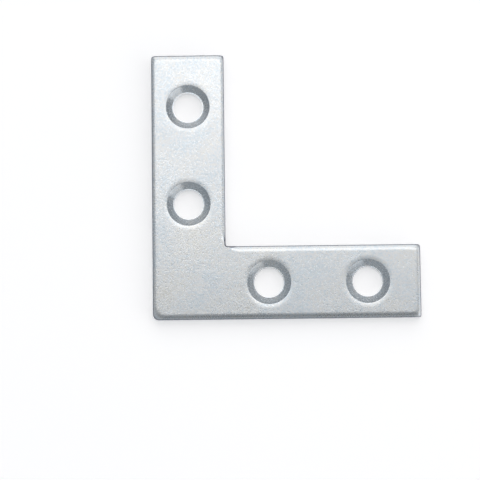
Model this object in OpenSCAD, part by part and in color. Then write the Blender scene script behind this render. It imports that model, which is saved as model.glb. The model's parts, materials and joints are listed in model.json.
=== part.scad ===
// Flat corner brace: one L-shaped steel plate, blanked from sheet, with two
// countersunk screw holes in each leg.
// Frame: the plate lies flat, its underside on z = 0 and its countersunk face
// up. One leg runs along +Y, the other along +X, and the origin is under the
// centre of the square that encloses the plate. Lengths are in millimetres.

/* [Legs] */
// Length of each leg, measured along the plate's outer edge
leg_length = 38; // [34:0.5:60]
// Width of each leg
leg_width = 10.4; // [9.5:0.1:13]
// Thickness of the plate
plate_thickness = 2; // [1.6:0.1:3]

/* [Corners] */
// Radius of the plate's outer corner
outer_corner_radius = 0.8; // [0.2:0.1:2.5]
// Radius of the two corners at the end of each leg
end_corner_radius = 0.3; // [0.2:0.1:1.5]
// Radius of the fillet in the inner corner
inner_corner_radius = 0.5; // [0.2:0.1:1.5]

/* [Rolled edge] */
// Width of the rounding that blanking leaves round the countersunk face
roll_width = 0.85; // [0.5:0.05:1.1]
// Depth of that rounding where it meets the side walls
roll_depth = 0.25; // [0.15:0.01:0.35]
// Length over which the rounding runs out beside the inner corner
roll_run_out = 1.7; // [1.5:0.1:3]

/* [Screw holes] */
// Number of holes in each leg
holes_per_leg = 2; // [1:1:2]
// Distance from the end of a leg to the centre of its outer hole
hole_end_distance = 7.5; // [6.5:0.1:9]
// Distance between the centres of neighbouring holes
hole_pitch = 14; // [10:0.5:15]
// Diameter of the hole below its countersink
hole_diameter = 4.2; // [3.2:0.1:4.6]
// Diameter of the countersink where its cone would meet the face
countersink_diameter = 6.3; // [5.4:0.1:6.6]
// Full angle of the countersink's cone
countersink_angle = 90; // [82:1:100]
// Radius of the pressed lip between the cone and the face
lip_radius = 0.3; // [0.2:0.05:0.8]

/* [Hidden] */
$fn = 96;

// Slope of the rounded edges where they reach the flat face, in degrees, so
// that each rounding ends in a clean line
blend_slope = 4;
// How far a cut runs on past the surface that it opens into
cut_margin = 0.05;
// Height that every cut reaches above the countersunk face
cut_height = 0.5;

// The rounded edge is one arc. It leaves the face at blend_slope, one
// roll_width inside the side wall, and meets the wall roll_depth lower.
roll_chord = norm([roll_width, roll_depth]);
roll_chord_slope = atan2(roll_depth, roll_width);
roll_radius = roll_chord / (2 * sin(roll_chord_slope - blend_slope));
roll_centre = [roll_width + roll_radius * sin(blend_slope), -roll_radius * cos(blend_slope)];
roll_reach = roll_width / 2;

// Beside the inner corner the rounding turns away from the plate along an
// arc, which carries it off the edge within roll_run_out.
run_out_radius = (roll_run_out ^ 2 - roll_width ^ 2) / (2 * roll_width);
run_out_angle = atan2(roll_run_out, run_out_radius);
run_out_start = leg_width + inner_corner_radius + roll_run_out;

// The countersink's cone, and the lip's arc that joins it to the face
half_angle = countersink_angle / 2;
cone_slope = 90 - half_angle;
hole_radius = hole_diameter / 2;
rim_radius = countersink_diameter / 2;
cone_depth = (rim_radius - hole_radius) / tan(half_angle);
lip_centre = [
    rim_radius + lip_radius * (1 - cos(cone_slope)) / sin(cone_slope),
    -lip_radius
];

// One leg's outline, with its outer edge on x = 0 and its end at leg_length.
module leg_outline() {
    square([leg_width, leg_length - end_corner_radius]);
    translate([end_corner_radius, 0])
        square([leg_width - 2 * end_corner_radius, leg_length]);
    for (x = [end_corner_radius, leg_width - end_corner_radius])
        translate([x, leg_length - end_corner_radius])
            circle(end_corner_radius);
}

// What lies between a square corner and a rounding of the given radius.
module corner_spandrel(radius) {
    difference() {
        square(radius);
        translate([radius, radius])
            circle(radius);
    }
}

// Both legs are the same shape, mirrored about the corner's diagonal.
module both_legs() {
    children();
    mirror([1, -1, 0])
        children();
}

module plate_outline() {
    difference() {
        both_legs()
            leg_outline();
        corner_spandrel(outer_corner_radius);
    }
    translate([leg_width, leg_width])
        corner_spandrel(inner_corner_radius);
}

// Section of the cut that rounds an edge. The edge is at x = 0, the plate lies
// on the +x side, and the countersunk face is y = 0.
module roll_section() {
    difference() {
        translate([-roll_reach, roll_centre.y])
            square([roll_reach + roll_width + cut_margin, cut_height - roll_centre.y]);
        translate(roll_centre)
            circle(roll_radius);
    }
}

// The cut along a straight edge that starts at the origin and runs along +Y.
module straight_roll(length) {
    translate([0, length, 0])
        rotate([90, 0, 0])
            linear_extrude(length)
                roll_section();
}

// The cut round a convex corner, as a quarter turn from the +X direction. Its
// centre lies one roll_width deeper than the plate's own rounding, so the cut
// goes deepest at the corner's tip, as blanking leaves it.
module corner_roll(corner_radius) {
    rotate_extrude(angle = 90)
        translate([corner_radius + roll_width, 0])
            mirror([1, 0])
                roll_section();
}

// The cut where the rounding runs out, turning away from the plate.
module run_out_roll() {
    rotate_extrude(angle = run_out_angle + blend_slope)
        translate([run_out_radius, 0])
            roll_section();
}

// The whole cut round one leg, from the outer corner to the inner corner.
module leg_roll() {
    outer_turn = outer_corner_radius + roll_width;
    end_turn = end_corner_radius + roll_width;
    translate([0, outer_turn, 0])
        straight_roll(leg_length - outer_turn - end_turn);
    translate([end_turn, leg_length - end_turn, 0])
        rotate(90)
            corner_roll(end_corner_radius);
    translate([end_turn, leg_length, 0])
        rotate(-90)
            straight_roll(leg_width - 2 * end_turn);
    translate([leg_width - end_turn, leg_length - end_turn, 0])
        corner_roll(end_corner_radius);
    translate([leg_width, leg_length - end_turn, 0])
        rotate(180)
            straight_roll(leg_length - end_turn - run_out_start);
    translate([leg_width + run_out_radius, run_out_start, 0])
        rotate(180)
            run_out_roll();
}

// The rounding goes round the whole plate, except in the inner corner.
module edge_roll() {
    outer_turn = outer_corner_radius + roll_width;
    both_legs()
        leg_roll();
    translate([outer_turn, outer_turn, 0])
        rotate(180)
            corner_roll(outer_corner_radius);
}

// Half section of a screw hole, with the countersunk face at y = 0: the bore,
// the cone, and the lip rounded off between the cone and the face.
module hole_section() {
    tangent_point = lip_centre + lip_radius * [-sin(cone_slope), cos(cone_slope)];
    polygon([
        [0, -plate_thickness - cut_height],
        [hole_radius, -plate_thickness - cut_height],
        [hole_radius, -cone_depth],
        tangent_point,
        [0, tangent_point.y]
    ]);
    difference() {
        translate([0, tangent_point.y])
            square([lip_centre.x, cut_height - tangent_point.y]);
        translate(lip_centre)
            circle(lip_radius);
    }
}

module screw_hole() {
    rotate_extrude()
        hole_section();
}

module corner_plate() {
    color([0.84, 0.85, 0.87])
        translate([-leg_length / 2, -leg_length / 2, 0])
            difference() {
                linear_extrude(plate_thickness)
                    plate_outline();
                translate([0, 0, plate_thickness]) {
                    edge_roll();
                    both_legs()
                        for (i = [0 : holes_per_leg - 1])
                            translate([leg_width / 2, leg_length - hole_end_distance - i * hole_pitch, 0])
                                screw_hole();
                }
            }
}

corner_plate();
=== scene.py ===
# %% [markdown]
# # A flat corner brace in bright zinc
# The real object is one L-shaped plate, blanked from steel sheet in a press.
# Its outline is simple, so its looks rest on small things: the rolled edge
# that the die leaves round the face, the torn lower half of the side walls,
# the pressed countersinks and the fine crystalline grain of the zinc.
# The script builds these as geometry, and then gives each its own finish.

# %% Load the frame
import json
import math

import bmesh
import bpy
from mathutils import Matrix, Vector

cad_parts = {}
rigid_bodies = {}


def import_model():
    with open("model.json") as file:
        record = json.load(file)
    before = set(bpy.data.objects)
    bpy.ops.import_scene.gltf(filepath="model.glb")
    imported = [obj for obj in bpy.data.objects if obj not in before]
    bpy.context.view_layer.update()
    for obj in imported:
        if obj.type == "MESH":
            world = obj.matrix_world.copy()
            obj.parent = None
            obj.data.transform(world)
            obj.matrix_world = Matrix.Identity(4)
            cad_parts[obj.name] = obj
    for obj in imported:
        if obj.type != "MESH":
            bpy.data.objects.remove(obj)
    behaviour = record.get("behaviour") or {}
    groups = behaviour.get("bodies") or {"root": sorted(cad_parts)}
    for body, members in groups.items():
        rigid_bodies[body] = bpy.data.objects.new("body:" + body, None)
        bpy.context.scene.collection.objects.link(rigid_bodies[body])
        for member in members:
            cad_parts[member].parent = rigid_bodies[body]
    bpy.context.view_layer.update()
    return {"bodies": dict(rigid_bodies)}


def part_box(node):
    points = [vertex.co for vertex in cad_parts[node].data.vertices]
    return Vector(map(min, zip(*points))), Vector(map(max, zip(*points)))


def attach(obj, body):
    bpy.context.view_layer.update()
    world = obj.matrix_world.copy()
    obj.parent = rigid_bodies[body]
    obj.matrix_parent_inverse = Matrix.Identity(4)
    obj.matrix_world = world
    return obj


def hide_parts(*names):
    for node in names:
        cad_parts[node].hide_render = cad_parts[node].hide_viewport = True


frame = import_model()
MM = 0.001
BODY = list(frame["bodies"])[0]

# %% [markdown]
# ## The sizes
# The plate's length and thickness come from the frame, so that the looks can
# never drift from the solid. The rest are the sizes of the real plate: its
# legs, its corner radii and the rolled edge. The inner corner is drawn a little
# tighter than in the solid, because its crisp dark line is what one sees.

# %% Sizes
LOW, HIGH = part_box("corner_plate")
LEG = HIGH.x - LOW.x
THICK = HIGH.z - LOW.z
LEG_WIDTH = 10.4 * MM
OUTER_RADIUS = 0.8 * MM
END_RADIUS = 0.3 * MM
INNER_RADIUS = 0.3 * MM
ROLL_WIDTH = 0.85 * MM
ROLL_DROP = 0.28 * MM
RUN_OUT = 1.7 * MM
print("leg %.2f mm, thickness %.2f mm" % (LEG / MM, THICK / MM))

# %% [markdown]
# ## Walking round the outline
# Blanking bends the sheet's skin down beside the cut, so the face turns over
# into the side wall along the whole outline. That form follows two rails. The
# outer rail is the outline. The inner rail is where the flat face begins, one
# roll width further in. Each station below holds both points, the drop of the
# edge there and the way out of the plate. A formula places them, corner by
# corner, so both rails always have matching points.

# %% A station, and the drop of the edge near a corner
SPACING = 0.25 * MM
CORNER_STEPS = 10
TIP_SLOPE = 0.7          # extra drop for each unit that a corner stands out
LEAST_ROLL = 0.2 * MM    # width of the rounding that is left in the inner corner
LEAST_DROP = 0.06 * MM
FADE_POWER = 1.5         # how quickly the drop fades as the roll runs out


def station(outer, inner, drop, outward, pinch=0.0):
    """pinch is 1 where the rounding is pressed into the inner corner."""
    return {"outer": outer, "inner": inner, "drop": drop,
            "outward": outward.normalized(), "pinch": pinch}


def corner_drop(distance_in, distance_across, radius):
    """Drop of the edge near a convex corner. The roll turns about a centre that
    lies one roll width deeper than the corner's own, so the tip drops most."""
    reach = radius + ROLL_WIDTH
    along = max(reach - distance_in, 0.0)
    across = reach - distance_across
    return ROLL_DROP + TIP_SLOPE * max(math.hypot(along, across) - reach, 0.0)

# %% [markdown]
# ## Corners and straight edges
# An outer corner is a quarter turn of stations. Its inner rail is the same
# small arc, moved in by one roll width both ways, so the roll is widest, and
# drops most, at the corner's tip. A roll of one width all round would be
# simpler, but it looks machined. Straight edges are filled in between two
# corners, at an even spacing.

# %% Outer corners and straight edges
def convex_corner(corner, along_in, along_out, radius):
    """Stations round a corner. along_in and along_out are the edges' directions."""
    inward = along_out - along_in
    centre = corner + inward * radius
    made = []
    for i in range(CORNER_STEPS + 1):
        turn = math.pi / 2 * i / CORNER_STEPS
        arm = along_in * math.sin(turn) - along_out * math.cos(turn)
        point = centre + arm * radius
        across = radius * (1 - math.sin(turn))
        drop = corner_drop(across, radius * (1 - math.cos(turn)), radius)
        made.append(station(point, point + inward * ROLL_WIDTH, drop, arm))
    return made


def straight_edge(first, last, outward, radii):
    """Stations between two others. radii has the corner radius at each end, or None."""
    length = (last["outer"] - first["outer"]).length
    count = round(length / SPACING)
    made = []
    for i in range(1, count):
        share = i / count
        drop = ROLL_DROP
        for radius, gone in zip(radii, (share * length, (1 - share) * length)):
            if radius is not None:
                drop = max(drop, corner_drop(radius + gone, 0.0, radius))
        outer = first["outer"].lerp(last["outer"], share)
        made.append(station(outer, first["inner"].lerp(last["inner"], share), drop, outward))
    return made

# %% [markdown]
# ## The inner corner
# Sheet can't be drawn down in an inner corner, so on both sides of it the roll
# turns off the edge along an arc and runs out. A narrow pressed line is left,
# and the face's finish paints shade on it, so it shows as a crisp dark corner.
# Carrying the whole roll round the corner would take less code, and would look
# soft, as if it were cast.

# %% The inner corner
def run_out(start, along, outward):
    """Stations where the roll turns off the edge along an arc and ends."""
    turn_radius = (RUN_OUT ** 2 - ROLL_WIDTH ** 2) / (2 * ROLL_WIDTH)
    count = round(2 * RUN_OUT / SPACING)
    made = []
    for i in range(count + 1):
        gone = RUN_OUT * i / count
        width = math.sqrt((turn_radius + ROLL_WIDTH) ** 2 - gone ** 2) - turn_radius
        share = max(width, 0.0) / ROLL_WIDTH
        drop = LEAST_DROP + (ROLL_DROP - LEAST_DROP) * share ** FADE_POWER
        point = start + along * gone
        inner = point - outward * max(width, LEAST_ROLL)
        made.append(station(point, inner, drop, outward, pinch=i / count))
    return made


def fillet(corner, radius):
    """Stations round the inner corner, from the edge along +X to the one along +Y."""
    centre = corner + Vector((radius, radius, 0))
    made = []
    for i in range(1, CORNER_STEPS):
        turn = math.pi * 1.5 - math.pi / 2 * i / CORNER_STEPS
        arm = Vector((math.cos(turn), math.sin(turn), 0))
        inner = centre + arm * (radius + LEAST_ROLL)
        made.append(station(centre + arm * radius, inner, LEAST_DROP, -arm, pinch=1.0))
    return made

# %% [markdown]
# ## The whole outline
# The corners come in the order of a walk round the plate, and the straight
# edges join each one to the next. The prints show whether the stations are
# spaced evenly and whether the drop stays within the sheet.

# %% Walk round the plate
def walk_outline():
    """All stations, anticlockwise from above, from the outer corner round to it."""
    x, y = Vector((1, 0, 0)), Vector((0, 1, 0))
    base = Vector((LOW.x, LOW.y, 0))
    inner_corner = base + (x + y) * LEG_WIDTH
    clear = INNER_RADIUS + RUN_OUT
    inner = run_out(inner_corner + x * clear, -x, y)
    inner += fillet(inner_corner, INNER_RADIUS)
    inner += run_out(inner_corner + y * clear, -y, x)[::-1]
    parts = [
        (convex_corner(base, -y, x, OUTER_RADIUS), OUTER_RADIUS, -y),
        (convex_corner(base + x * LEG, x, y, END_RADIUS), END_RADIUS, x),
        (convex_corner(base + x * LEG + y * LEG_WIDTH, y, -x, END_RADIUS), END_RADIUS, y),
        (inner, None, x),
        (convex_corner(base + x * LEG_WIDTH + y * LEG, y, -x, END_RADIUS), END_RADIUS, y),
        (convex_corner(base + y * LEG, -x, -y, END_RADIUS), END_RADIUS, -x),
    ]
    walk = []
    for (here, radius, outward), (following, next_radius, _) in zip(parts, parts[1:] + parts[:1]):
        walk += here
        walk += straight_edge(here[-1], following[0], outward, (radius, next_radius))
    return walk


stations = walk_outline()
steps = [(a["outer"] - b["outer"]).length for a, b in zip(stations, stations[1:] + stations[:1])]
drops = [s["drop"] / MM for s in stations]
print("stations", len(stations), "largest step %.3f mm" % (max(steps) / MM))
print("edge drop from %.3f to %.3f mm" % (min(drops), max(drops)))

# %% [markdown]
# ## The rails as a mesh
# Geometry Nodes can sweep along any geometry that it is handed, and it reads
# named attributes from it. So the outer rail becomes a closed loop of edges,
# and the inner rail, the drop, the way out and the pinch ride on its points.

# %% The rail mesh
def attribute(mesh, name, kind, values):
    """Stores one value for each point. kind is FLOAT or FLOAT_VECTOR."""
    made = mesh.attributes.new(name, kind, "POINT")
    key = "value" if kind == "FLOAT" else "vector"
    flat = [v for value in values for v in (value if kind == "FLOAT_VECTOR" else (value,))]
    made.data.foreach_set(key, flat)


def edge_chain(name, points, closed):
    """A mesh object of points joined one after the other."""
    mesh = bpy.data.meshes.new(name)
    edges = [(i, i + 1) for i in range(len(points) - 1)]
    if closed:
        edges.append((len(points) - 1, 0))
    mesh.from_pydata(points, edges, [])
    made = bpy.data.objects.new(name, mesh)
    bpy.context.scene.collection.objects.link(made)
    return made


rails = edge_chain("plate_rails", [s["outer"] for s in stations], closed=True)
attribute(rails.data, "inner", "FLOAT_VECTOR", [s["inner"] for s in stations])
attribute(rails.data, "outward", "FLOAT_VECTOR", [s["outward"] for s in stations])
attribute(rails.data, "drop", "FLOAT", [s["drop"] for s in stations])
attribute(rails.data, "pinch", "FLOAT", [s["pinch"] for s in stations])
print("rail points", len(rails.data.vertices))

# %% [markdown]
# ## A short way to write node trees
# A node tree is only boxes and wires, so four small helpers are enough: one
# opens a tree with its named inputs, one adds a node and wires or fills its
# inputs, and two write a calculation as a single line.

# %% Helpers for node trees
SOCKETS = {
    "geometry": "NodeSocketGeometry", "float": "NodeSocketFloat", "int": "NodeSocketInt",
    "vector": "NodeSocketVector", "material": "NodeSocketMaterial", "color": "NodeSocketColor",
}


def open_tree(name, kind, inputs, outputs):
    """A new node tree. inputs is [(name, type, default)], outputs is [(name, type)]."""
    tree = bpy.data.node_groups.new(name, kind)
    for label, sort, default in inputs:
        socket = tree.interface.new_socket(label, in_out="INPUT", socket_type=SOCKETS[sort])
        if default is not None:
            socket.default_value = default
    for label, sort in outputs:
        tree.interface.new_socket(label, in_out="OUTPUT", socket_type=SOCKETS[sort])
    return tree, tree.nodes.new("NodeGroupInput").outputs, tree.nodes.new("NodeGroupOutput").inputs


def add(tree, kind, values=None, **settings):
    """Adds a node. values maps an input's name or number to a socket or a plain value."""
    node = tree.nodes.new(kind)
    for key, value in settings.items():
        setattr(node, key, value)
    for key, value in (values or {}).items():
        if isinstance(value, bpy.types.NodeSocket):
            tree.links.new(value, node.inputs[key])
        else:
            node.inputs[key].default_value = value
    return node


def calc(tree, operation, *values, clamp=False):
    """One Math node, as its result."""
    node = add(tree, "ShaderNodeMath", dict(enumerate(values)), operation=operation, use_clamp=clamp)
    return node.outputs[0]


def vector_calc(tree, operation, a, b):
    """One Vector Math node, as its result. SCALE takes a number as b."""
    key = "Scale" if operation == "SCALE" else 1
    return add(tree, "ShaderNodeVectorMath", {0: a, key: b}, operation=operation).outputs[0]


# %% [markdown]
# ## The screw holes' centres
# Each leg has two holes on its middle line. A Mesh Line makes a row of points
# from a start and a step, so the same small group serves the flat faces, which
# need openings there, and the countersinks, which are placed there.

# %% The group that places the holes
HOLES_PER_LEG = 2
HOLE_END = 7.5 * MM
HOLE_PITCH = 14 * MM
HOLE_SIDES = 96


def hole_centres_group():
    tree, given, result = open_tree(
        "hole_centres", "GeometryNodeTree",
        [("Corner", "vector", (LOW.x, LOW.y, 0.0)), ("Leg Length", "float", LEG),
         ("Leg Width", "float", LEG_WIDTH), ("End Distance", "float", HOLE_END),
         ("Pitch", "float", HOLE_PITCH), ("Count", "int", HOLES_PER_LEG)],
        [("Centres", "geometry")],
    )
    across = calc(tree, "MULTIPLY", given["Leg Width"], 0.5)
    along = calc(tree, "SUBTRACT", given["Leg Length"], given["End Distance"])
    back = calc(tree, "MULTIPLY", given["Pitch"], -1.0)
    join = add(tree, "GeometryNodeJoinGeometry")
    for first, second in (("X", "Y"), ("Y", "X")):
        spot = add(tree, "ShaderNodeCombineXYZ", {first: along, second: across}).outputs[0]
        start = vector_calc(tree, "ADD", given["Corner"], spot)
        step = add(tree, "ShaderNodeCombineXYZ", {first: back}).outputs[0]
        row = add(tree, "GeometryNodeMeshLine",
                  {"Count": given["Count"], "Start Location": start, "Offset": step})
        tree.links.new(row.outputs["Mesh"], join.inputs[0])
    tree.links.new(join.outputs[0], result["Centres"])
    return tree


HOLE_CENTRES = hole_centres_group()
print("hole centres group has", len(HOLE_CENTRES.nodes), "nodes")

# %% [markdown]
# ## The blanked plate
# The rim is a loft between the rails. A Mesh Grid has one row of points for
# each ring and one column for each station, and each point works out its own
# place from what the rails hold there. The first rings cross the roll, and the
# others run down the side wall.
# Extruding the outline and bevelling it would be shorter, but it can't let the
# roll deepen at the corners and fade out in the inner corner.

# %% Sizes of the rim, and helpers that read the rails
ROLL_RINGS = 12
WALL_RINGS = 16
ROLL_POWER = 1.4       # how abruptly the roll turns down into the wall
APRON = 0.15           # flat ring inside the roll, as a share of the roll's width


def position(tree):
    return add(tree, "GeometryNodeInputPosition").outputs[0]


def named(tree, name, kind):
    """A named attribute, as a field."""
    return add(tree, "GeometryNodeInputNamedAttribute", {"Name": name}, data_type=kind).outputs[0]


def up_by(tree, height):
    """A vector that points straight up and is as long as the height."""
    return add(tree, "ShaderNodeCombineXYZ", {"Z": height}).outputs[0]


def sample(tree, geometry, value, kind, index):
    """The value that a field has on one numbered point of a geometry."""
    return add(tree, "GeometryNodeSampleIndex",
               {"Geometry": geometry, "Value": value, "Index": index}, data_type=kind).outputs[0]


def rail_values(tree, rails, column):
    """What the rails hold at the station of each column."""
    held = {"outer": sample(tree, rails, position(tree), "FLOAT_VECTOR", column)}
    for name in ("inner", "outward"):
        held[name] = sample(tree, rails, named(tree, name, "FLOAT_VECTOR"), "FLOAT_VECTOR", column)
    for name in ("drop", "pinch"):
        held[name] = sample(tree, rails, named(tree, name, "FLOAT"), "FLOAT", column)
    return held


print("rings from the face to the underside", ROLL_RINGS + WALL_RINGS + 2)

# %% [markdown]
# ## The grid and the roll
# The roll is a quarter turn that starts level with the face and ends upright.
# A power makes it turn gently at first and hard at the end, as bent sheet does.
# A ring of flat face inside it, the apron, keeps the shading of the roll from
# spreading over the large flat face.

# %% The grid and the roll
def ring_grid(tree, given):
    """A grid with a row for each ring and a column for each station, and the ring
    and the column of each of its points. The last column repeats the first, which
    closes the loop."""
    size = add(tree, "GeometryNodeAttributeDomainSize", {"Geometry": given["Rails"]})
    count = size.outputs["Point Count"]
    columns = calc(tree, "ADD", count, 1)
    rows = calc(tree, "ADD", calc(tree, "ADD", given["Roll Rings"], given["Wall Rings"]), 2)
    grid = add(tree, "GeometryNodeMeshGrid", {"Vertices X": rows, "Vertices Y": columns})
    index = add(tree, "GeometryNodeInputIndex").outputs[0]
    ring = calc(tree, "SUBTRACT", calc(tree, "FLOOR", calc(tree, "DIVIDE", index, columns)), 1)
    in_row = calc(tree, "FLOORED_MODULO", index, columns)
    return grid.outputs["Mesh"], ring, calc(tree, "FLOORED_MODULO", in_row, count)


def roll_places(tree, given, ring, at):
    """The place and height across the roll, and how far across a ring is, from 0 to 1.
    Ring -1 is the apron and ring 0 the edge of the flat face."""
    share = calc(tree, "DIVIDE", calc(tree, "MAXIMUM", ring, 0), given["Roll Rings"], clamp=True)
    angle = calc(tree, "MULTIPLY", share, math.pi / 2)
    level = calc(tree, "POWER", calc(tree, "COSINE", angle), ROLL_POWER)
    fall = calc(tree, "SUBTRACT", 1, level)
    apron = calc(tree, "MULTIPLY", calc(tree, "MINIMUM", ring, 0), APRON)
    across = calc(tree, "ADD", calc(tree, "SINE", angle), apron)
    width = vector_calc(tree, "SUBTRACT", at["outer"], at["inner"])
    place = vector_calc(tree, "ADD", at["inner"], vector_calc(tree, "SCALE", width, across))
    top = calc(tree, "SUBTRACT", given["Thickness"], calc(tree, "MULTIPLY", at["drop"], fall))
    return place, top, share


# %% [markdown]
# ## The torn part of the side walls
# The die shears the upper part of the wall smooth. Then the sheet cracks, and
# the rest tears off along an uneven line, a little further in and pitted. A
# bump in the material would only shade that. Here the wall really steps back,
# so it also shows in the outline and from below.

# %% The side walls
SMOOTH_SHARE = 0.42    # part of the wall that is sheared smooth
TEAR_DEPTH = 0.05 * MM
TEAR_BLEND = 0.1       # height of the step, as a share of the wall
LINE_SCALE = 260.0     # waves of the tear's upper line, for each metre
LINE_SWING = 0.5
PIT_SCALE = 1500.0     # pits for each metre
PIT_SWING = 1.6
FOOT_FADE = 3.0        # the pits are gone at the foot, where the underside joins on


def tear(tree, given, spot, down):
    """Where the wall is torn, from 0 to 1, and how far it steps back there."""

    def uneven(scale, detail):
        """Noise on both sides of zero. Its seed is the fourth coordinate."""
        made = add(tree, "ShaderNodeTexNoise",
                   {"Vector": spot, "W": given["Seed"], "Scale": scale, "Detail": detail},
                   noise_dimensions="4D")
        return calc(tree, "SUBTRACT", made.outputs["Fac"], 0.5)

    begins = calc(tree, "MULTIPLY_ADD", uneven(LINE_SCALE, 1.0), LINE_SWING, given["Smooth Share"])
    torn = calc(tree, "DIVIDE", calc(tree, "SUBTRACT", down, begins), TEAR_BLEND, clamp=True)
    pits = calc(tree, "MULTIPLY", uneven(PIT_SCALE, 2.0), PIT_SWING)
    fade = calc(tree, "MULTIPLY", calc(tree, "SUBTRACT", 1, down), FOOT_FADE, clamp=True)
    depth = calc(tree, "MULTIPLY_ADD", pits, fade, 1.0)
    return torn, calc(tree, "MULTIPLY", calc(tree, "MULTIPLY", torn, depth), given["Tear Depth"])


def store(tree, geometry, name, value):
    """Keeps a value on the face corners, so that welding can't mix it with a neighbour's."""
    on_points = add(tree, "GeometryNodeFieldOnDomain", {0: value}, data_type="FLOAT", domain="POINT")
    return add(tree, "GeometryNodeStoreNamedAttribute",
               {"Geometry": geometry, "Name": name, "Value": on_points.outputs[0]},
               domain="CORNER").outputs[0]


def rim(tree, given):
    """The roll and the side wall, with the masks that the finishes read."""
    grid, ring, column = ring_grid(tree, given)
    at = rail_values(tree, given["Rails"], column)
    place, top, share = roll_places(tree, given, ring, at)
    past = calc(tree, "SUBTRACT", ring, given["Roll Rings"])
    down = calc(tree, "DIVIDE", past, given["Wall Rings"], clamp=True)
    height = calc(tree, "MULTIPLY", top, calc(tree, "SUBTRACT", 1, down))
    spot = vector_calc(tree, "ADD", at["outer"], up_by(tree, height))
    torn, step_back = tear(tree, given, spot, down)
    back = vector_calc(tree, "SCALE", at["outward"], calc(tree, "MULTIPLY", step_back, -1))
    final = vector_calc(tree, "ADD", vector_calc(tree, "ADD", place, back), up_by(tree, height))
    made = add(tree, "GeometryNodeSetPosition", {"Geometry": grid, "Position": final}).outputs[0]
    on_roll = calc(tree, "GREATER_THAN", ring, 0.5)
    made = store(tree, made, "rolled", share)
    made = store(tree, made, "pinched", calc(tree, "MULTIPLY", at["pinch"], on_roll))
    made = store(tree, made, "torn", torn)
    return store(tree, made, "on wall", calc(tree, "GREATER_THAN", past, -0.5))


# %% [markdown]
# ## The flat faces
# A flat face with openings could be cut with a Boolean, which leaves slivers.
# Fill Curve fills between outlines instead: the face's own edge and one circle
# for each hole. Its points are the rails' and the circles' own, so it meets the
# rim and the countersinks point on point.

# %% Flat faces with openings
def hole_circles(tree, radius):
    """A circle of the given radius round every hole's centre, as curves."""
    circle = add(tree, "GeometryNodeCurvePrimitiveCircle",
                 {"Resolution": HOLE_SIDES, "Radius": radius}).outputs[0]
    centres = add(tree, "GeometryNodeGroup", node_tree=HOLE_CENTRES).outputs[0]
    placed = add(tree, "GeometryNodeInstanceOnPoints", {"Points": centres, "Instance": circle})
    return add(tree, "GeometryNodeRealizeInstances", {"Geometry": placed.outputs[0]}).outputs[0]


def flat_face(tree, outline, hole_radius, height, flipped):
    """Fills between a closed outline and the holes, at one height."""
    curve = add(tree, "GeometryNodeMeshToCurve", {"Mesh": outline}).outputs[0]
    join = add(tree, "GeometryNodeJoinGeometry", {0: curve})
    tree.links.new(hole_circles(tree, hole_radius), join.inputs[0])
    fill = add(tree, "GeometryNodeFillCurve", {"Curve": join.outputs[0]}).outputs[0]
    face = add(tree, "GeometryNodeSetPosition", {"Geometry": fill, "Offset": up_by(tree, height)})
    if not flipped:
        return face.outputs[0]
    return add(tree, "GeometryNodeFlipFaces", {"Mesh": face.outputs[0]}).outputs[0]


def both_faces(tree, given):
    """The countersunk face, as far as the apron, and the underside, which ends at the tear."""
    inner = named(tree, "inner", "FLOAT_VECTOR")
    outward = named(tree, "outward", "FLOAT_VECTOR")
    inwards = vector_calc(tree, "SUBTRACT", inner, position(tree))
    edge = vector_calc(tree, "ADD", inner, vector_calc(tree, "SCALE", inwards, APRON))
    back = vector_calc(tree, "SCALE", outward, calc(tree, "MULTIPLY", given["Tear Depth"], -1))
    rails = given["Rails"]
    face_rail = add(tree, "GeometryNodeSetPosition", {"Geometry": rails, "Position": edge}).outputs[0]
    under_rail = add(tree, "GeometryNodeSetPosition", {"Geometry": rails, "Offset": back}).outputs[0]
    return (
        flat_face(tree, face_rail, given["Face Hole Radius"], given["Thickness"], flipped=False),
        flat_face(tree, under_rail, given["Underside Hole Radius"], 0.0, flipped=True),
    )


# %% [markdown]
# ## The plate's whole tree
# What is left is to join the rim and the two faces and to give them their
# finishes. The wall is found by the mask that the rim keeps for it, which
# stays right when the number of rings is changed.

# %% The tree of the blanked plate
def coat(tree, geometry, material, where=None):
    """Gives a material to a whole geometry, or to the part of it that is picked out."""
    values = {"Geometry": geometry, "Material": material}
    if where is not None:
        values["Selection"] = where
    return add(tree, "GeometryNodeSetMaterial", values).outputs[0]


def above(tree, name, limit):
    """Picks out where a named number is above a limit."""
    return add(tree, "FunctionNodeCompare", {0: named(tree, name, "FLOAT"), 1: limit},
               data_type="FLOAT", operation="GREATER_THAN").outputs[0]


def blanked_plate_tree():
    tree, given, result = open_tree(
        "blanked_plate", "GeometryNodeTree",
        [("Rails", "geometry", None), ("Thickness", "float", THICK),
         ("Roll Rings", "int", ROLL_RINGS), ("Wall Rings", "int", WALL_RINGS),
         ("Smooth Share", "float", SMOOTH_SHARE), ("Tear Depth", "float", TEAR_DEPTH),
         ("Face Hole Radius", "float", 0.0), ("Underside Hole Radius", "float", 0.0),
         ("Seed", "float", 3.0), ("Face Finish", "material", None), ("Wall Finish", "material", None)],
        [("Plate", "geometry")],
    )
    join = add(tree, "GeometryNodeJoinGeometry")
    for piece in (rim(tree, given), *both_faces(tree, given)):
        tree.links.new(piece, join.inputs[0])
    whole = add(tree, "GeometryNodeRealizeInstances", {"Geometry": join.outputs[0]}).outputs[0]
    skin = coat(tree, whole, given["Face Finish"])
    done = coat(tree, skin, given["Wall Finish"], above(tree, "on wall", 0.5))
    tree.links.new(done, result["Plate"])
    return tree


BLANKED_PLATE = blanked_plate_tree()
print("blanked plate tree has", len(BLANKED_PLATE.nodes), "nodes")

# %% [markdown]
# ## The countersunk screw holes
# A hole is a lathe form: the face dishes a little towards it, turns over a
# small edge into the cone for the screw's head, and the cone ends on a narrow
# step above a short bore. Only half its section is drawn, as a chain of points.
# Curve to Mesh spins it round a circle, and the four copies are placed on the
# same centres that opened the faces.

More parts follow.
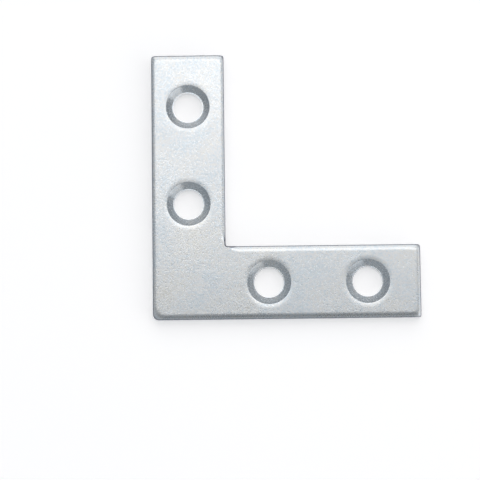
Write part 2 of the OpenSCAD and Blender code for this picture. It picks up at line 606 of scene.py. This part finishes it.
# %% The section of a hole
BORE_RADIUS = 2.1 * MM
RIM_RADIUS = 3.15 * MM       # where the cone would meet the face
CONE_SLOPE = math.radians(45)
DISH_SLOPE = math.radians(5)
DISH_RADIUS = 7.5 * MM
EDGE_RADIUS = 0.1 * MM
FLAT_RING = 0.12 * MM        # flat ring outside the dish
LEDGE = 0.15 * MM            # narrow step between the cone and the bore
LEDGE_CROWN = 0.004 * MM     # how far the step's middle stands up
DISH_STEPS = 10
STEPS = 6                    # points along each other part of the section


def bend(start, radius, first, last, steps):
    """Points along an arc that runs inwards and turns down from one slope to another."""
    made = []
    for i in range(1, steps + 1):
        slope = first + (last - first) * i / steps
        inwards = radius * (math.sin(first) - math.sin(slope))
        down = radius * (math.cos(slope) - math.cos(first))
        made.append(start + Vector((inwards, down, 0)))
    return made


def line(start, end, steps):
    return [start.lerp(end, i / steps) for i in range(1, steps + 1)]


def hole_section():
    """From the face to the underside, as (distance from the axis, height)."""
    lip = bend(Vector(), DISH_RADIUS, 0, DISH_SLOPE, DISH_STEPS)
    lip += bend(lip[-1], EDGE_RADIUS, DISH_SLOPE, CONE_SLOPE, STEPS)
    # The lip moves out until its last point lies on the cone.
    cone_reach = RIM_RADIUS + lip[-1].y / math.tan(CONE_SLOPE)
    begin = Vector((cone_reach - lip[-1].x, THICK, 0))
    lip = [begin + point for point in lip]
    ledge_out = BORE_RADIUS + LEDGE
    foot = Vector((ledge_out, THICK - (RIM_RADIUS - ledge_out) * math.tan(CONE_SLOPE), 0))
    ledge = line(foot, foot - Vector((LEDGE, 0, 0)), STEPS)
    for i, point in enumerate(ledge, start=1):
        point.y += LEDGE_CROWN * (1 - (2 * i / STEPS - 1) ** 2)
    flat = [begin + Vector((FLAT_RING, 0, 0)), begin]
    cone = line(lip[-1], foot, STEPS)
    bore = line(ledge[-1], Vector((BORE_RADIUS, 0, 0)), STEPS)
    return flat + lip + cone + ledge + bore


section = hole_section()
hole_profile = edge_chain("hole_profile", section, closed=False)
print("section of %d points, face opening %.3f mm" % (len(section), section[0].x / MM))

# %% [markdown]
# ## Spinning the section
# Curve to Mesh sweeps the section round a circle as large as the bore. That
# keeps one set of points for all four holes, and the finish can read how far
# each point is from its own hole's axis, because that is kept before the
# copies are placed.

# %% The tree of the screw holes
def spun_section(tree, given):
    """The section as a closed ring of faces round the origin's axis."""
    # The rail is a circle as large as the bore, so the section moves in by that.
    # Curve to Mesh lays a section's Y axis downwards on this rail, so Y is flipped.
    shift = calc(tree, "MULTIPLY", given["Bore Radius"], -1)
    inwards = add(tree, "ShaderNodeCombineXYZ", {"X": shift}).outputs[0]
    flipped = vector_calc(tree, "MULTIPLY", position(tree), (1, -1, 1))
    place = vector_calc(tree, "ADD", flipped, inwards)
    moved = add(tree, "GeometryNodeSetPosition", {"Geometry": given["Section"], "Position": place})
    curve = add(tree, "GeometryNodeMeshToCurve", {"Mesh": moved.outputs[0]}).outputs[0]
    rail = add(tree, "GeometryNodeCurvePrimitiveCircle",
               {"Resolution": given["Sides"], "Radius": given["Bore Radius"]}).outputs[0]
    upright = add(tree, "GeometryNodeSetCurveNormal", {"Curve": rail}, mode="Z_UP").outputs[0]
    return add(tree, "GeometryNodeCurveToMesh", {"Curve": upright, "Profile Curve": curve}).outputs[0]


def screw_holes_tree():
    tree, given, result = open_tree(
        "screw_holes", "GeometryNodeTree",
        [("Section", "geometry", None), ("Sides", "int", HOLE_SIDES),
         ("Bore Radius", "float", BORE_RADIUS), ("Rim Radius", "float", RIM_RADIUS),
         ("Face Finish", "material", None), ("Cut Finish", "material", None)],
        [("Holes", "geometry")],
    )
    from_axis = vector_calc(tree, "MULTIPLY", position(tree), (1, 1, 0))
    reach = add(tree, "ShaderNodeVectorMath", {0: from_axis}, operation="LENGTH").outputs["Value"]
    spun = add(tree, "GeometryNodeStoreNamedAttribute",
               {"Geometry": spun_section(tree, given), "Name": "reach", "Value": reach},
               domain="CORNER").outputs[0]
    centres = add(tree, "GeometryNodeGroup", node_tree=HOLE_CENTRES).outputs[0]
    placed = add(tree, "GeometryNodeInstanceOnPoints", {"Points": centres, "Instance": spun})
    whole = add(tree, "GeometryNodeRealizeInstances", {"Geometry": placed.outputs[0]}).outputs[0]
    cut = coat(tree, whole, given["Cut Finish"])
    done = coat(tree, cut, given["Face Finish"], above(tree, "reach", given["Rim Radius"]))
    tree.links.new(done, result["Holes"])
    return tree


SCREW_HOLES = screw_holes_tree()
print("screw holes tree has", len(SCREW_HOLES.nodes), "nodes")

# %% [markdown]
# ## What the zinc looks like
# Bright zinc plating is a metal with a fine crystalline grain: each crystal
# leans a little its own way, so the face shimmers softly when seen close. Over
# millimetres the plating drifts between a cool and a warm grey. These effects
# serve all three finishes, so each is a shader group with named inputs. The
# grain comes first.

# %% The group for the grain
GRAIN_CONTRAST = 2.4
COARSE_RATIO = 0.22    # coarse crystals for each fine one, along a line


def noise(tree, where, scale, detail=2.0, roughness=0.5):
    """A noise value. Scale is in bumps for each metre."""
    return add(tree, "ShaderNodeTexNoise", {
        "Vector": where, "Scale": scale, "Detail": detail, "Roughness": roughness}).outputs["Fac"]


def grain_group():
    """Fine crystals: a mask from 0 to 1 and a relief, both from noise at two scales."""
    tree, given, result = open_tree(
        "zinc_grain", "ShaderNodeTree",
        [("Vector", "vector", None), ("Crystals per Metre", "float", 5200.0),
         ("Coarse Share", "float", 0.35)],
        [("Mask", "float"), ("Relief", "float")],
    )
    fine = noise(tree, given["Vector"], given["Crystals per Metre"], 3.0, 0.65)
    coarse_scale = calc(tree, "MULTIPLY", given["Crystals per Metre"], COARSE_RATIO)
    coarse = noise(tree, given["Vector"], coarse_scale)
    from_middle = calc(tree, "SUBTRACT", fine, 0.5)
    spread = calc(tree, "MULTIPLY_ADD", from_middle, GRAIN_CONTRAST, 0.5, clamp=True)
    tree.links.new(spread, result["Mask"])
    relief = calc(tree, "MULTIPLY_ADD", coarse, given["Coarse Share"], fine)
    tree.links.new(relief, result["Relief"])
    return tree


GRAIN = grain_group()
print("grain group has", len(GRAIN.nodes), "nodes")

# %% [markdown]
# ## The tint of the plating
# Plated zinc carries a very thin clear film, and its colour drifts with the
# film's thickness between a cool and a warm grey, in patches with finer flecks
# on them. A picture of such a surface would repeat. Noise at two scales
# doesn't, and its amount can be set for each finish.

# %% The group for the tint
FINE_RATIO = 14.0      # fine flecks of tint for each patch, along a line
FINE_WEIGHT = 1.3
COOL_GAIN = 4.0
WARM_GAIN = -3.0       # negative, because warm is where the drift is below zero


def blend(tree, factor, first, second):
    """Mixes two colours."""
    mix = add(tree, "ShaderNodeMix", data_type="RGBA")
    for value, key in ((factor, 0), (first, 6), (second, 7)):
        if isinstance(value, bpy.types.NodeSocket):
            tree.links.new(value, mix.inputs[key])
        else:
            mix.inputs[key].default_value = value
    return mix.outputs[2]


def tint_group():
    """A metal colour that drifts between a cool and a warm grey."""
    tree, given, result = open_tree(
        "plating_tint", "ShaderNodeTree",
        [("Vector", "vector", None), ("Base", "color", (0.855, 0.86, 0.865, 1)),
         ("Cool", "color", (0.68, 0.76, 0.82, 1)), ("Warm", "color", (0.86, 0.82, 0.75, 1)),
         ("Amount", "float", 0.6), ("Patches per Metre", "float", 220.0)],
        [("Color", "color")],
    )
    fine_scale = calc(tree, "MULTIPLY", given["Patches per Metre"], FINE_RATIO)
    broad = noise(tree, given["Vector"], given["Patches per Metre"], 3.0, 0.6)
    fine = noise(tree, given["Vector"], fine_scale)
    flecks = calc(tree, "MULTIPLY", calc(tree, "SUBTRACT", fine, 0.5), FINE_WEIGHT)
    drift = calc(tree, "ADD", calc(tree, "SUBTRACT", broad, 0.5), flecks)
    colour = given["Base"]
    for gain, label in ((COOL_GAIN, "Cool"), (WARM_GAIN, "Warm")):
        reached = calc(tree, "MULTIPLY", drift, gain, clamp=True)
        colour = blend(tree, calc(tree, "MULTIPLY", reached, given["Amount"]), colour, given[label])
    tree.links.new(colour, result["Color"])
    return tree


TINT = tint_group()
print("tint group has", len(TINT.nodes), "nodes")

# %% [markdown]
# ## Helpers for the materials
# Each material has its own shader, and takes its colours, masks and relief
# from the groups above. The helpers only place nodes: a group, a relief, an
# attribute of the mesh, and the three wires that every finish ends in.

# %% Helpers for the materials
def open_material(name):
    """A new metal with nothing on it yet: the material, its tree and its shader."""
    material = bpy.data.materials.new(name)
    material.use_nodes = True
    tree = material.node_tree
    tree.nodes.clear()
    output = tree.nodes.new("ShaderNodeOutputMaterial")
    shader = tree.nodes.new("ShaderNodeBsdfPrincipled")
    shader.inputs["Metallic"].default_value = 1.0
    tree.links.new(shader.outputs[0], output.inputs["Surface"])
    return material, tree, shader


def object_place(tree):
    return add(tree, "ShaderNodeTexCoord").outputs["Object"]


def stored(tree, name):
    """A number that the mesh carries under this name."""
    return add(tree, "ShaderNodeAttribute", attribute_name=name).outputs["Fac"]


def place_group(tree, group, where, **values):
    """Places a shader group on a pattern's coordinates, with its own values."""
    node = add(tree, "ShaderNodeGroup", node_tree=group)
    tree.links.new(where, node.inputs["Vector"])
    for name, value in values.items():
        node.inputs[name.replace("_", " ")].default_value = value
    return node.outputs


def bump(tree, height, strength, depth, over=None):
    """A relief as a normal. depth is in metres, and over is a relief that lies below it."""
    values = {"Height": height, "Strength": strength, "Distance": depth}
    if over is not None:
        values["Normal"] = over
    return add(tree, "ShaderNodeBump", values).outputs[0]


def dress(tree, shader, colour, roughness, normal):
    """Wires a finish's colour, roughness and normal to its shader."""
    for name, value in (("Base Color", colour), ("Roughness", roughness), ("Normal", normal)):
        tree.links.new(value, shader.inputs[name])


# %% [markdown]
# ## The finish of the face
# The face keeps the sheet's grain over the soft swell of rolled sheet. On the
# rolled edge the skin is stretched smooth, so the grain fades out across it. The
# last strip of the roll is painted darker, as painted shade along the edge, and
# the painted shade is darkest by the inner corner.
# A bevel mask would find every edge alike. The rim's own attributes know which
# edge is which, so the finish reads those.

# %% The face
CRYSTAL_DEPTH = 0.02 * MM
CRYSTAL_STRENGTH = 0.8
SWELL_SCALE = 110.0          # swells for each metre
SWELL_DEPTH = 0.08 * MM
SWELL_STRENGTH = 0.35
STRETCHED = 0.7              # share of the grain that is gone at the foot of the roll
EDGE_SHADE_FROM = 0.55            # how far across the roll the dark strip begins
EDGE_SHADE_EARLIER = 0.6          # how much sooner it begins by the inner corner
EDGE_SHADE_RISE = 5.0             # how quickly it darkens
EDGE_SHADE_SHARE = 0.9
# Painted shade: the colour of the dark strip along the roll's outer edge.
PAINTED_EDGE_SHADE = (0.26, 0.275, 0.32, 1)
# Painted shade, darker still, for the inner corner.
PAINTED_CORNER_SHADE = (0.13, 0.135, 0.16, 1)
FACE_ROUGHNESS = 0.23
SMUDGE_SCALE = 95.0
SMUDGE_SWING = 0.16
SPECKLE = 0.16


def face_zinc():
    material, tree, shader = open_material("face_zinc")
    where = object_place(tree)
    rolled, pinched = stored(tree, "rolled"), stored(tree, "pinched")
    grain = place_group(tree, GRAIN, where)
    tint = place_group(tree, TINT, where)

    wave = bump(tree, noise(tree, where, SWELL_SCALE, 3.0, 0.6), SWELL_STRENGTH, SWELL_DEPTH)
    left = calc(tree, "MULTIPLY_ADD", rolled, -STRETCHED, 1.0, clamp=True)
    strength = calc(tree, "MULTIPLY", left, CRYSTAL_STRENGTH)
    relief = bump(tree, grain["Relief"], strength, CRYSTAL_DEPTH, over=wave)

    corner_weight = calc(tree, "POWER", pinched, 2.0)
    begins = calc(tree, "MULTIPLY_ADD", corner_weight, -EDGE_SHADE_EARLIER, EDGE_SHADE_FROM)
    # Painted shade along the roll's outer strip. It begins sooner by the inner corner.
    edge_shade = calc(tree, "MULTIPLY", calc(tree, "SUBTRACT", rolled, begins), EDGE_SHADE_RISE, clamp=True)
    colour = blend(tree, calc(tree, "MULTIPLY", edge_shade, EDGE_SHADE_SHARE), tint["Color"], PAINTED_EDGE_SHADE)
    # More painted shade where the roll runs out in the inner corner.
    colour = blend(tree, calc(tree, "MULTIPLY", edge_shade, pinched), colour, PAINTED_CORNER_SHADE)

    smudge = calc(tree, "SUBTRACT", noise(tree, where, SMUDGE_SCALE), 0.5)
    dull = calc(tree, "MULTIPLY_ADD", smudge, SMUDGE_SWING, FACE_ROUGHNESS)
    speckled = calc(tree, "MULTIPLY", grain["Mask"], calc(tree, "MULTIPLY", left, SPECKLE))
    dress(tree, shader, colour, calc(tree, "ADD", dull, speckled), relief)
    return material


FACE = face_zinc()
print(FACE.name, "has", len(FACE.node_tree.nodes), "nodes")

# %% [markdown]
# ## The finish of the side walls
# Drag lines run straight down the sheared part, where the die has scraped it.
# The torn part below is pitted, duller and darker. One material serves both,
# because the rim keeps where the tear is, so the finish changes exactly where
# the shape does.

# %% The side walls' finish
CUT_ZINC = (0.76, 0.78, 0.80, 1)
SCORED_ZINC = (0.44, 0.46, 0.49, 1)
PITTED_ZINC = (0.27, 0.28, 0.30, 1)
WALL_RELIEF = 0.07 * MM
DRAG_SCALE = 4200.0          # drag lines for each metre
DRAG_STRETCH = (1.0, 1.0, 0.05)
SCORE_GAIN = 2.2
SHEARED_ROUGHNESS = 0.26
TORN_ROUGHNESS = 0.24        # what the tear adds


def sheared_zinc():
    material, tree, shader = open_material("sheared_zinc")
    where = object_place(tree)
    torn = stored(tree, "torn")
    smooth = calc(tree, "SUBTRACT", 1.0, torn)
    grain = place_group(tree, GRAIN, where, Crystals_per_Metre=3000.0, Coarse_Share=1.2)
    tint = place_group(tree, TINT, where, Base=CUT_ZINC, Amount=0.4)

    upright = add(tree, "ShaderNodeMapping", {"Vector": where, "Scale": DRAG_STRETCH}).outputs[0]
    drag = noise(tree, upright, DRAG_SCALE, 3.0, 0.7)
    pits = calc(tree, "MULTIPLY", grain["Relief"], torn)
    height = calc(tree, "ADD", pits, calc(tree, "MULTIPLY", drag, smooth))
    relief = bump(tree, height, 1.0, WALL_RELIEF)

    lines = calc(tree, "SUBTRACT", 0.5, drag)
    scored = calc(tree, "MULTIPLY", lines, calc(tree, "MULTIPLY", smooth, SCORE_GAIN), clamp=True)
    pitted = calc(tree, "MULTIPLY", calc(tree, "MULTIPLY_ADD", grain["Mask"], 0.5, 0.3), torn)
    colour = blend(tree, scored, tint["Color"], SCORED_ZINC)
    colour = blend(tree, pitted, colour, PITTED_ZINC)
    dull = calc(tree, "MULTIPLY_ADD", torn, TORN_ROUGHNESS, SHEARED_ROUGHNESS)
    dress(tree, shader, colour, calc(tree, "MULTIPLY_ADD", grain["Mask"], 0.12, dull), relief)
    return material


SHEARED = sheared_zinc()
print(SHEARED.name, "has", len(SHEARED.node_tree.nodes), "nodes")

# %% [markdown]
# ## The finish of the countersinks
# A countersink is smoother than the face and shows faint rings from its tool.
# Rings round an axis are easy where that axis is the object's own. Here there
# are four, so each hole carries its own distance from its axis, and a sine of
# it makes the rings.

# %% The countersinks' finish
RING_TURN = 70000.0          # radians for each metre: one ring every 0.09 mm
RING_WOBBLE = 0.8
RING_HEIGHT = 0.12
RING_STRENGTH = 0.4


def countersunk_zinc():
    material, tree, shader = open_material("countersunk_zinc")
    where = object_place(tree)
    grain = place_group(tree, GRAIN, where, Crystals_per_Metre=3200.0)
    tint = place_group(tree, TINT, where, Base=CUT_ZINC, Amount=0.45)
    along = calc(tree, "MULTIPLY", stored(tree, "reach"), RING_TURN)
    rings = calc(tree, "SINE", calc(tree, "MULTIPLY_ADD", grain["Mask"], RING_WOBBLE, along))
    height = calc(tree, "MULTIPLY_ADD", rings, RING_HEIGHT, grain["Relief"])
    relief = bump(tree, height, RING_STRENGTH, CRYSTAL_DEPTH)
    dull = calc(tree, "MULTIPLY_ADD", grain["Mask"], 0.1, 0.2)
    dress(tree, shader, tint["Color"], dull, relief)
    return material


COUNTERSUNK = countersunk_zinc()
print("finishes", [m.name for m in (FACE, SHEARED, COUNTERSUNK)])

# %% [markdown]
# ## Running the trees
# Each tree is a modifier while it works. Its inputs are set by their socket's
# identifier before the object is first evaluated. The result is then copied
# into a plain mesh, so that nothing live is left on the finished piece.

# %% Run both trees
def grown(carrier, tree, values):
    """The mesh that a tree makes from a carrier object. The carrier is removed."""
    modifier = carrier.modifiers.new(tree.name, "NODES")
    modifier.node_group = tree
    wanted = {i.name: i.identifier for i in tree.interface.items_tree
              if i.item_type == "SOCKET" and i.in_out == "INPUT"}
    for name, value in values.items():
        modifier[wanted[name]] = value
    view = bpy.context.evaluated_depsgraph_get()
    made = bpy.data.meshes.new_from_object(carrier.evaluated_get(view), depsgraph=view)
    carrier.modifiers.clear()
    bpy.data.objects.remove(carrier)
    print(tree.name, "gave", len(made.vertices), "points and", len(made.polygons), "faces")
    return made


plate_mesh = grown(rails, BLANKED_PLATE, {
    "Face Hole Radius": section[0].x,
    "Underside Hole Radius": section[-1].x,
    "Face Finish": FACE,
    "Wall Finish": SHEARED,
})
holes_mesh = grown(hole_profile, SCREW_HOLES, {"Face Finish": FACE, "Cut Finish": COUNTERSUNK})

# %% [markdown]
# ## One closed shell
# The pieces meet point on point, so merging the doubles welds them into one
# shell. The checks after it are worth their few lines: a shell with no open
# edge and with the right volume can't have a hole or a wall turned inside out.

# %% Weld the shell
WELD = 0.002 * MM
SHARP_ANGLE = math.radians(40)


def weld(name, meshes):
    """One shell from several meshes. Each face keeps its own material."""
    shell, finishes = bmesh.new(), []
    for mesh in meshes:
        first = len(shell.faces)
        shell.from_mesh(mesh)
        shell.faces.ensure_lookup_table()
        for face in shell.faces[first:]:
            finish = mesh.materials[face.material_index]
            if finish not in finishes:
                finishes.append(finish)
            face.material_index = finishes.index(finish)
        bpy.data.meshes.remove(mesh)
    bmesh.ops.remove_doubles(shell, verts=shell.verts, dist=WELD)
    bmesh.ops.dissolve_degenerate(shell, edges=shell.edges, dist=WELD / 10)
    bmesh.ops.triangulate(shell, faces=[f for f in shell.faces if len(f.verts) > 4])
    bmesh.ops.recalc_face_normals(shell, faces=shell.faces)
    if shell.calc_volume(signed=True) < 0:
        bmesh.ops.reverse_faces(shell, faces=shell.faces)
    open_edges = sum(1 for e in shell.edges if len(e.link_faces) != 2)
    print(name, "open edges", open_edges, "volume %.1f mm3" % (shell.calc_volume() / MM ** 3))
    mesh = bpy.data.meshes.new(name)
    shell.to_mesh(mesh)
    shell.free()
    for finish in finishes:
        mesh.materials.append(finish)
    mesh.shade_smooth()
    mesh.set_sharp_from_angle(angle=SHARP_ANGLE)
    return mesh


brace = bpy.data.objects.new("zinc_brace", weld("zinc_brace", [plate_mesh, holes_mesh]))
bpy.context.scene.collection.objects.link(brace)
print("finishes on the shell", [m.name for m in brace.data.materials])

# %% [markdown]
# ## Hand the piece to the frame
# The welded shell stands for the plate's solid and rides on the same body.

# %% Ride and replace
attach(brace, BODY)
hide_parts("corner_plate")

# %% [markdown]
# ## The table
# The brace lies on a plain white table. Light Path lets the camera and mirror
# reflections see a glow on it, so it reads as white. Brighter lamps would do
# that too, but they would wash out the metal.

# %% Floor
FLOOR_SIZE = 3.0
FLOOR_GLOW = 0.46
FLOOR_COLOUR = (0.97, 0.955, 0.95, 1)


def floor_material():
    # The same metal shader works as a matt white surface when it is fully rough.
    material, tree, shader = open_material("white_table")
    shader.inputs["Base Color"].default_value = FLOOR_COLOUR
    shader.inputs["Roughness"].default_value = 1.0
    shader.inputs["Specular IOR Level"].default_value = 0.0
    rays = add(tree, "ShaderNodeLightPath").outputs
    seen = calc(tree, "MAXIMUM", rays["Is Camera Ray"], rays["Is Glossy Ray"])
    glow = add(tree, "ShaderNodeEmission", {"Strength": calc(tree, "MULTIPLY", seen, FLOOR_GLOW)})
    both = add(tree, "ShaderNodeAddShader", {0: shader.outputs[0], 1: glow.outputs[0]})
    output = next(n for n in tree.nodes if n.type == "OUTPUT_MATERIAL")
    tree.links.new(both.outputs[0], output.inputs["Surface"])
    return material


half = FLOOR_SIZE / 2
floor_corners = [(-half, -half, 0), (half, -half, 0), (half, half, 0), (-half, half, 0)]
floor_mesh = bpy.data.meshes.new("table_top")
floor_mesh.from_pydata(floor_corners, [], [(0, 1, 2, 3)])
floor_mesh.materials.append(floor_material())
floor = bpy.data.objects.new("table_top", floor_mesh)
bpy.context.scene.collection.objects.link(floor)
print("table top %.1f m wide" % FLOOR_SIZE)

# %% [markdown]
# ## The lamps
# Polished metal shows whatever it faces, so each lamp is placed by its mirror
# image. The camera looks nearly straight down, and the face mirrors a spot just
# beyond the vertical. The near edge of the high lamp crosses that spot, so the
# far end of the plate mirrors the lamp and the near end mirrors the room. The
# far and side lamps light the rolled edges and walls, and the low near lamp
# draws the bright part of each cone. All four are wide and weak, because small
# strong lamps would turn the face white from some side.

# %% Lights
SOFTBOXES = [
    # name, place, size across and up, watts
    ("high_softbox", (0.0, 0.21, 0.613), (0.75, 0.3), 0.83),
    ("far_softbox", (0.0, 0.52, 0.39), (0.75, 0.42), 0.6),
    ("side_softbox", (0.55, -0.02, 0.34), (0.8, 0.4), 0.46),
    ("near_softbox", (0.42, -0.42, 0.12), (0.55, 0.3), 0.28),
]


def softbox(name, place, size, watts):
    """A soft lamp that faces the brace."""
    light = bpy.data.lights.new(name, "AREA")
    light.shape = "RECTANGLE"
    light.size, light.size_y = size
    light.energy = watts
    lamp = bpy.data.objects.new(name, light)
    lamp.location = place
    lamp.rotation_euler = (-Vector(place)).to_track_quat("-Z", "Y").to_euler()
    bpy.context.scene.collection.objects.link(lamp)
    return lamp


lamps = [softbox(*values) for values in SOFTBOXES]
print("lamps", [lamp.name for lamp in lamps])

# %% [markdown]
# ## The room
# Everything that isn't a lamp is a plain grey room. It glows a little straight
# above and half way up its walls, and its near side is darker, which draws the
# near edges of the plate and of its holes. A picture of a real studio could
# stand here. One brightness worked out from a ray's direction is enough, and
# nothing in it can be recognised in the metal.

# %% Room
ROOM_COLOUR = (0.92, 0.995, 1.06, 1)
ROOM_LEVEL = 0.24
ROOM_OVERHEAD = 0.08
OVERHEAD_FOCUS = 24.0
ROOM_BELT = 0.2
DARK_SIDE = 0.13
DARK_SIDE_WAY = (0.0, -0.47, 0.883)
DARK_SIDE_FOCUS = 30.0


def room_level(tree):
    """How bright the room is in the direction of a ray."""
    towards = add(tree, "ShaderNodeTexCoord").outputs["Generated"]
    height = add(tree, "ShaderNodeSeparateXYZ", {0: towards}).outputs["Z"]
    rise = calc(tree, "MAXIMUM", height, 0.0)
    overhead = calc(tree, "POWER", rise, OVERHEAD_FOCUS)
    level = calc(tree, "MULTIPLY_ADD", overhead, ROOM_OVERHEAD, ROOM_LEVEL)
    # The belt is 1 half way up and 0 at the floor and straight above.
    product = calc(tree, "MULTIPLY", rise, calc(tree, "SUBTRACT", 1.0, rise))
    belt = calc(tree, "POWER", calc(tree, "MULTIPLY", product, 4.0), 2.0)
    level = calc(tree, "MULTIPLY_ADD", belt, ROOM_BELT, level)
    facing = add(tree, "ShaderNodeVectorMath", {0: towards, 1: DARK_SIDE_WAY}, operation="DOT_PRODUCT")
    near = calc(tree, "MAXIMUM", facing.outputs["Value"], 0.0)
    dark = calc(tree, "POWER", near, DARK_SIDE_FOCUS)
    level = calc(tree, "MULTIPLY_ADD", dark, -DARK_SIDE, level)
    return calc(tree, "MAXIMUM", level, 0.0)


world = bpy.data.worlds.new("room")
world.use_nodes = True
bpy.context.scene.world = world
room = world.node_tree
room.nodes.clear()
out = room.nodes.new("ShaderNodeOutputWorld")
back = add(room, "ShaderNodeBackground", {"Color": ROOM_COLOUR, "Strength": room_level(room)})
room.links.new(back.outputs[0], out.inputs["Surface"])
print("room level %.2f, belt %.2f more, near side %.2f less" % (ROOM_LEVEL, ROOM_BELT, DARK_SIDE))

# %% [markdown]
# ## The camera
# The photograph looks nearly straight down, from a little towards the near
# end. A camera placed by eye comes close. Fitting the plate's measured edges to
# its size gave the tilt, the roll and the scale of the view exactly enough to
# lay the two pictures over each other.

# %% Camera
PHOTO_PIXELS = 480
PIXELS_PER_MM = 7.048
CAMERA_TILT = math.radians(6.0)
CAMERA_ROLL = math.radians(-0.7)
CAMERA_DISTANCE = 0.25
CAMERA_AIM = Vector((-6.55 * MM, -7.75 * MM, THICK))
SENSOR = 36.0

toward = Vector((0, math.sin(CAMERA_TILT), -math.cos(CAMERA_TILT)))
upward = Vector((0, math.cos(CAMERA_TILT), math.sin(CAMERA_TILT)))
sideward = Vector((1, 0, 0))
right = sideward * math.cos(CAMERA_ROLL) + upward * math.sin(CAMERA_ROLL)
up = upward * math.cos(CAMERA_ROLL) - sideward * math.sin(CAMERA_ROLL)

lens = bpy.data.cameras.new("camera")
lens.sensor_width = SENSOR
lens.lens = SENSOR * CAMERA_DISTANCE / (PHOTO_PIXELS / PIXELS_PER_MM * MM)
lens.clip_start = 0.01
camera = bpy.data.objects.new("camera", lens)
camera.location = CAMERA_AIM - toward * CAMERA_DISTANCE
axes = (right, up, -toward)
camera.rotation_euler = Matrix([[a[i] for a in axes] for i in range(3)]).to_euler()
bpy.context.scene.collection.objects.link(camera)
bpy.context.scene.camera = camera
bpy.context.scene.view_settings.view_transform = "Standard"
print("lens %.1f mm at %.0f mm" % (lens.lens, CAMERA_DISTANCE / MM))
